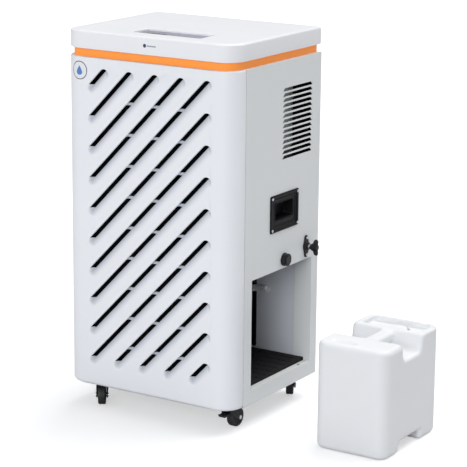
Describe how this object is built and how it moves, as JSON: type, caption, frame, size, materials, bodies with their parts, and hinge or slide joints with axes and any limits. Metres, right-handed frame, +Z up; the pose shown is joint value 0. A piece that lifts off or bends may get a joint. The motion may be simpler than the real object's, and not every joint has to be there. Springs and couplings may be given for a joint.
{
  "type": "dehumidifier",
  "caption": "Commercial compressor dehumidifier on swivel casters: diagonal slotted front grille, side louvres, open water bay, and its water tank standing beside it.",
  "frame": {"origin": "on the floor, under the middle of the bounding box of the whole set, cabinet and tank together; the cabinet centre is at x = -0.1936, y = -0.009885", "axes": "+Z up, -Y out of the front grille, +X out of the side with the water bay"},
  "size_m": [0.8968, 0.4318, 0.965],
  "materials": {
    "white_moulding": "semi-gloss white moulding",
    "white_steel": "white powder coat",
    "zinc_steel": "zinc plated sheet",
    "orange_band": "satin orange",
    "panel_grey": "satin grey",
    "display_dark": "smoked window",
    "key_grey": "satin",
    "board_green": "solder mask",
    "black_liner": "matt black",
    "mat_rubber": "matt black",
    "black_plastic": "fine textured black",
    "coil_aluminium": "fin stock",
    "copper": "drawn copper tube",
    "compressor_black": "black enamel",
    "motor_grey": "dark enamel",
    "soft_rubber": "matt",
    "hose_clear": "milky",
    "cable_black": "satin",
    "screw_steel": "bright zinc",
    "wheel_rubber": "black tread",
    "tank_white": "blow-moulded natural white",
    "cap_white": "moulded white"
  },
  "bodies": {
    "cabinet": {"front_panel": "white_moulding", "side_panel_right": "white_steel", "side_panel_left": "white_steel", "rear_panel": "white_steel", "base_pan": "zinc_steel", "top_plate": "white_steel", "accent_band": "orange_band", "top_lid": "white_moulding", "control_panel": "panel_grey", "display_window": "display_dark", "control_board": "board_green", "mid_shelf": "zinc_steel", "bay_liner": "black_liner", "bay_wall_rear": "white_steel", "bay_mat": "mat_rubber", "filter_frame": "black_plastic", "filter_mesh": "black_plastic", "evaporator_coil": "coil_aluminium", "condenser_coil": "coil_aluminium", "drip_tray": "black_plastic", "drain_hose": "hose_clear", "drain_port": "black_plastic", "compressor": "compressor_black", "compressor_grommets": "soft_rubber", "refrigerant_pipes": "copper", "fan_shroud": "zinc_steel", "fan_motor": "motor_grey", "electrical_box": "zinc_steel", "electrical_cover": "zinc_steel", "tank_switch": "key_grey", "handle_right": "black_plastic", "handle_left": "black_plastic", "panel_screws": "screw_steel", "latch_flange": "black_plastic", "caster_plates": "zinc_steel", "power_cord": "cable_black"},
    "power_key": {"key_power": "key_grey"},
    "mode_key": {"key_mode": "key_grey"},
    "up_key": {"key_up": "key_grey"},
    "down_key": {"key_down": "key_grey"},
    "fan": {"fan_impeller": "black_plastic"},
    "drain_plug": {"drain_cap": "black_plastic"},
    "latch": {"latch_knob": "black_plastic"},
    "switch_arm": {"switch_lever": "screw_steel"},
    "tank": {"water_tank": "tank_white"},
    "tank_lid": {"tank_cap": "cap_white"},
    "swivel_fl": {"caster_fork_fl": "black_plastic", "caster_axle_fl": "screw_steel"},
    "roller_fl": {"caster_wheel_fl": "wheel_rubber"},
    "swivel_fr": {"caster_fork_fr": "black_plastic", "caster_axle_fr": "screw_steel"},
    "roller_fr": {"caster_wheel_fr": "wheel_rubber"},
    "swivel_rl": {"caster_fork_rl": "black_plastic", "caster_axle_rl": "screw_steel"},
    "roller_rl": {"caster_wheel_rl": "wheel_rubber"},
    "swivel_rr": {"caster_fork_rr": "black_plastic", "caster_axle_rr": "screw_steel"},
    "roller_rr": {"caster_wheel_rr": "wheel_rubber"},
    "brake_fl": {"brake_pedal_fl": "black_plastic"},
    "brake_fr": {"brake_pedal_fr": "black_plastic"}
  },
  "joints": [
    {"name": "power_key_press", "type": "slide", "parent": "cabinet", "child": "power_key", "axis": [0, 0, -1], "range_m": [0, 0.0008], "stiffness_N_per_m": 400, "springref_m": -0.0005},
    {"name": "mode_key_press", "type": "slide", "parent": "cabinet", "child": "mode_key", "axis": [0, 0, -1], "range_m": [0, 0.0008], "stiffness_N_per_m": 400, "springref_m": -0.0005},
    {"name": "up_key_press", "type": "slide", "parent": "cabinet", "child": "up_key", "axis": [0, 0, -1], "range_m": [0, 0.0008], "stiffness_N_per_m": 400, "springref_m": -0.0005},
    {"name": "down_key_press", "type": "slide", "parent": "cabinet", "child": "down_key", "axis": [0, 0, -1], "range_m": [0, 0.0008], "stiffness_N_per_m": 400, "springref_m": -0.0005},
    {"name": "fan_spin", "type": "hinge", "parent": "cabinet", "child": "fan", "pos_m": [-0.1936, 0.07412, 0.668], "axis": [0, 1, 0], "continuous": true},
    {"name": "drain_cap_turn", "type": "hinge", "parent": "cabinet", "child": "drain_plug", "pos_m": [0.0644, 0.02712, 0.4], "axis": [1, 0, 0], "continuous": true},
    {"name": "latch_turn", "type": "hinge", "parent": "cabinet", "child": "latch", "pos_m": [0.0564, 0.13312, 0.412], "axis": [1, 0, 0], "range_deg": [0, 90]},
    {"name": "switch_arm_press", "type": "hinge", "parent": "cabinet", "child": "switch_arm", "pos_m": [-0.1176, 0.16262, 0.268], "axis": [0, 0, 1], "range_deg": [0, 4], "stiffness_Nm_per_rad": 0.02},
    {"name": "tank_lift", "type": "slide", "parent": "cabinet", "child": "tank", "axis": [0, 0, 1], "range_m": [0, 0.3]},
    {"name": "tank_cap_turn", "type": "hinge", "parent": "tank", "child": "tank_lid", "pos_m": [0.3514, 0.07412, 0.25], "axis": [0, 0, 1], "continuous": true},
    {"name": "swivel_fl_turn", "type": "hinge", "parent": "cabinet", "child": "swivel_fl", "pos_m": [-0.3716, -0.15588, 0.058], "axis": [0, 0, 1], "continuous": true},
    {"name": "roller_fl_spin", "type": "hinge", "parent": "swivel_fl", "child": "roller_fl", "pos_m": [-0.35782, -0.17793, 0.025], "axis": [0.848, 0.5299, 0], "continuous": true},
    {"name": "swivel_fr_turn", "type": "hinge", "parent": "cabinet", "child": "swivel_fr", "pos_m": [0.0144, -0.15588, 0.058], "axis": [0, 0, 1], "continuous": true},
    {"name": "roller_fr_spin", "type": "hinge", "parent": "swivel_fr", "child": "roller_fr", "pos_m": [0.01531, -0.1299, 0.025], "axis": [-0.9994, 0.0349, 0], "continuous": true},
    {"name": "swivel_rl_turn", "type": "hinge", "parent": "cabinet", "child": "swivel_rl", "pos_m": [-0.3716, 0.13612, 0.058], "axis": [0, 0, 1], "continuous": true},
    {"name": "roller_rl_spin", "type": "hinge", "parent": "swivel_rl", "child": "roller_rl", "pos_m": [-0.3586, 0.15863, 0.025], "axis": [-0.866, 0.5, 0], "continuous": true},
    {"name": "swivel_rr_turn", "type": "hinge", "parent": "cabinet", "child": "swivel_rr", "pos_m": [0.0144, 0.13612, 0.058], "axis": [0, 0, 1], "continuous": true},
    {"name": "roller_rr_spin", "type": "hinge", "parent": "swivel_rr", "child": "roller_rr", "pos_m": [0.00219, 0.15907, 0.025], "axis": [-0.8829, -0.4695, 0], "continuous": true},
    {"name": "brake_fl_press", "type": "hinge", "parent": "swivel_fl", "child": "brake_fl", "pos_m": [-0.37637, -0.14825, 0.042], "axis": [-0.848, -0.5299, 0], "range_deg": [0, 12], "stiffness_Nm_per_rad": 0.5},
    {"name": "brake_fr_press", "type": "hinge", "parent": "swivel_fr", "child": "brake_fr", "pos_m": [0.01409, -0.16488, 0.042], "axis": [0.9994, -0.0349, 0], "range_deg": [0, 12], "stiffness_Nm_per_rad": 0.5}
  ]
}
